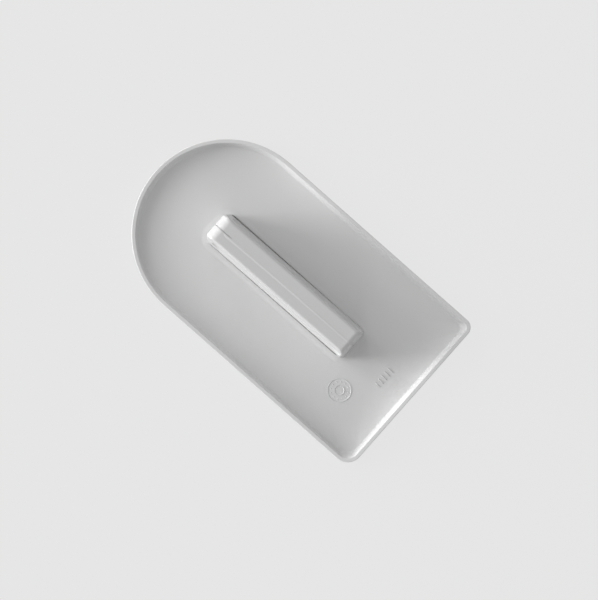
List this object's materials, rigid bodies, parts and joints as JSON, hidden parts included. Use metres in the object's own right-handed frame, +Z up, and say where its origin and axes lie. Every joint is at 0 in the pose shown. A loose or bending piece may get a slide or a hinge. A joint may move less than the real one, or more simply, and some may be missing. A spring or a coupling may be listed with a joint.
{
  "type": "icing smoother",
  "caption": "Dished D-shaped smoothing plate with a raised rim, flat underneath, under a narrow hollow handle with scooped sides and a lengthwise seam.",
  "frame": {"origin": "middle of the plate's outline, on the flat smoothing face that the tool rests on", "axes": "+X along the handle from the plate's round end to its straight end, +Y across the plate to the left half of the handle, +Z up out of the smoothing face to the handle's crown"},
  "size_m": [0.15, 0.0834, 0.026],
  "materials": {
    "plate_plastic": "satin moulded, natural white",
    "left_handle_plastic": "satin moulded, natural white",
    "right_handle_plastic": "satin moulded, natural white"
  },
  "bodies": {
    "root": {"smoothing_plate": "plate_plastic", "handle_half_left": "left_handle_plastic", "handle_half_right": "right_handle_plastic"}
  },
  "joints": []
}
